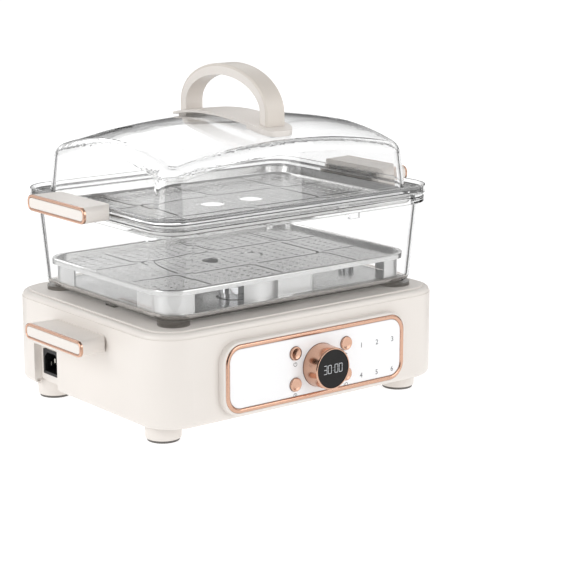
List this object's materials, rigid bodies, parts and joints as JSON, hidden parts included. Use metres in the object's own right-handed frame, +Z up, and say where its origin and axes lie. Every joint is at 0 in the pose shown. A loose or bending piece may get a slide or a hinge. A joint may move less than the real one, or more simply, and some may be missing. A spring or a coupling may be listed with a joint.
{
  "type": "electric food steamer",
  "caption": "Electric food steamer: cream base with control panel and rose-gold trim, clear steam box with pressed steel racks, and a clear domed lid with an arched handle.",
  "frame": {"origin": "on the worktop, under the middle of the base", "axes": "+Z up, +X along the long side to the right, -Y towards the control panel"},
  "size_m": [0.4012, 0.2895, 0.3265],
  "materials": {
    "cream_plastic": "moulded satin cream",
    "taupe_plastic": "moulded satin taupe",
    "panel_white": "gloss white",
    "rose_gold": "anodised rose gold",
    "display_black": "gloss black window",
    "clear_plastic": "clear moulded",
    "pressed_steel": "satin stainless",
    "bright_chrome": "polished",
    "screw_steel": "zinc plated",
    "black_plastic": "moulded black",
    "grey_rubber": "matte",
    "silicone": "translucent matte",
    "board_green": "solder mask",
    "cast_alloy": "as cast"
  },
  "bodies": {
    "base": {"lower_housing": "cream_plastic", "top_cover": "cream_plastic", "bottom_plate": "cream_plastic", "feet": "cream_plastic", "foot_pads": "grey_rubber", "housing_screws": "screw_steel", "control_bezel": "cream_plastic", "panel_trim": "rose_gold", "panel_face": "panel_white", "button_switches": "black_plastic", "control_board": "board_green", "display_holder": "black_plastic", "display_lens": "display_black", "encoder": "black_plastic", "inlet_socket": "black_plastic", "inlet_pins": "screw_steel", "base_handle_left": "cream_plastic", "base_handle_right": "cream_plastic", "base_handle_trim_left": "rose_gold", "base_handle_trim_right": "rose_gold", "base_handle_insert_left": "cream_plastic", "base_handle_insert_right": "cream_plastic", "base_handle_screws": "screw_steel", "boiler": "cast_alloy", "boiler_cover": "cast_alloy", "heating_element": "screw_steel", "thermostat": "black_plastic", "steam_tube": "silicone", "power_board": "board_green", "steam_outlet": "bright_chrome", "outlet_gasket": "grey_rubber", "outlet_cap": "bright_chrome", "outlet_nut": "screw_steel"},
    "steam_box": {"steam_box": "clear_plastic", "box_handle_left": "cream_plastic", "box_handle_right": "cream_plastic", "box_handle_trim_left": "rose_gold", "box_handle_trim_right": "rose_gold", "box_handle_insert_left": "cream_plastic", "box_handle_insert_right": "cream_plastic", "box_handle_screws": "screw_steel", "floor_plate": "pressed_steel", "drain_plug": "bright_chrome"},
    "lower_rack": {"lower_rack": "pressed_steel", "rack_legs": "pressed_steel"},
    "upper_tray": {"upper_tray": "pressed_steel"},
    "lid": {"lid_dome": "clear_plastic", "lid_handle": "cream_plastic", "lid_handle_cap": "cream_plastic", "lid_handle_base": "cream_plastic", "lid_handle_washers": "silicone", "lid_handle_screws": "screw_steel"},
    "knob": {"knob_sleeve": "rose_gold"},
    "button_upper_left": {"button_upper_left": "rose_gold"},
    "button_lower_left": {"button_lower_left": "rose_gold"},
    "button_upper_right": {"button_upper_right": "rose_gold"},
    "button_lower_right": {"button_lower_right": "rose_gold"}
  },
  "joints": [
    {"name": "box_lift", "type": "slide", "parent": "base", "child": "steam_box", "axis": [0, 0, 1], "range_m": [0, 0.06]},
    {"name": "rack_lift", "type": "slide", "parent": "steam_box", "child": "lower_rack", "axis": [0, 0, 1], "range_m": [0, 0.1]},
    {"name": "tray_lift", "type": "slide", "parent": "lower_rack", "child": "upper_tray", "axis": [0, 0, 1], "range_m": [0, 0.06]},
    {"name": "lid_lift", "type": "slide", "parent": "upper_tray", "child": "lid", "axis": [0, 0, 1], "range_m": [0, 0.12]},
    {"name": "knob_turn", "type": "hinge", "parent": "base", "child": "knob", "pos_m": [0.0055, -0.148, 0.0548], "axis": [0, -1, 0], "continuous": true},
    {"name": "upper_left_press", "type": "slide", "parent": "base", "child": "button_upper_left", "axis": [0, 1, 0], "range_m": [0, 0.001], "stiffness_N_per_m": 1200},
    {"name": "lower_left_press", "type": "slide", "parent": "base", "child": "button_lower_left", "axis": [0, 1, 0], "range_m": [0, 0.001], "stiffness_N_per_m": 1200},
    {"name": "upper_right_press", "type": "slide", "parent": "base", "child": "button_upper_right", "axis": [0, 1, 0], "range_m": [0, 0.001], "stiffness_N_per_m": 1200},
    {"name": "lower_right_press", "type": "slide", "parent": "base", "child": "button_lower_right", "axis": [0, 1, 0], "range_m": [0, 0.001], "stiffness_N_per_m": 1200}
  ]
}
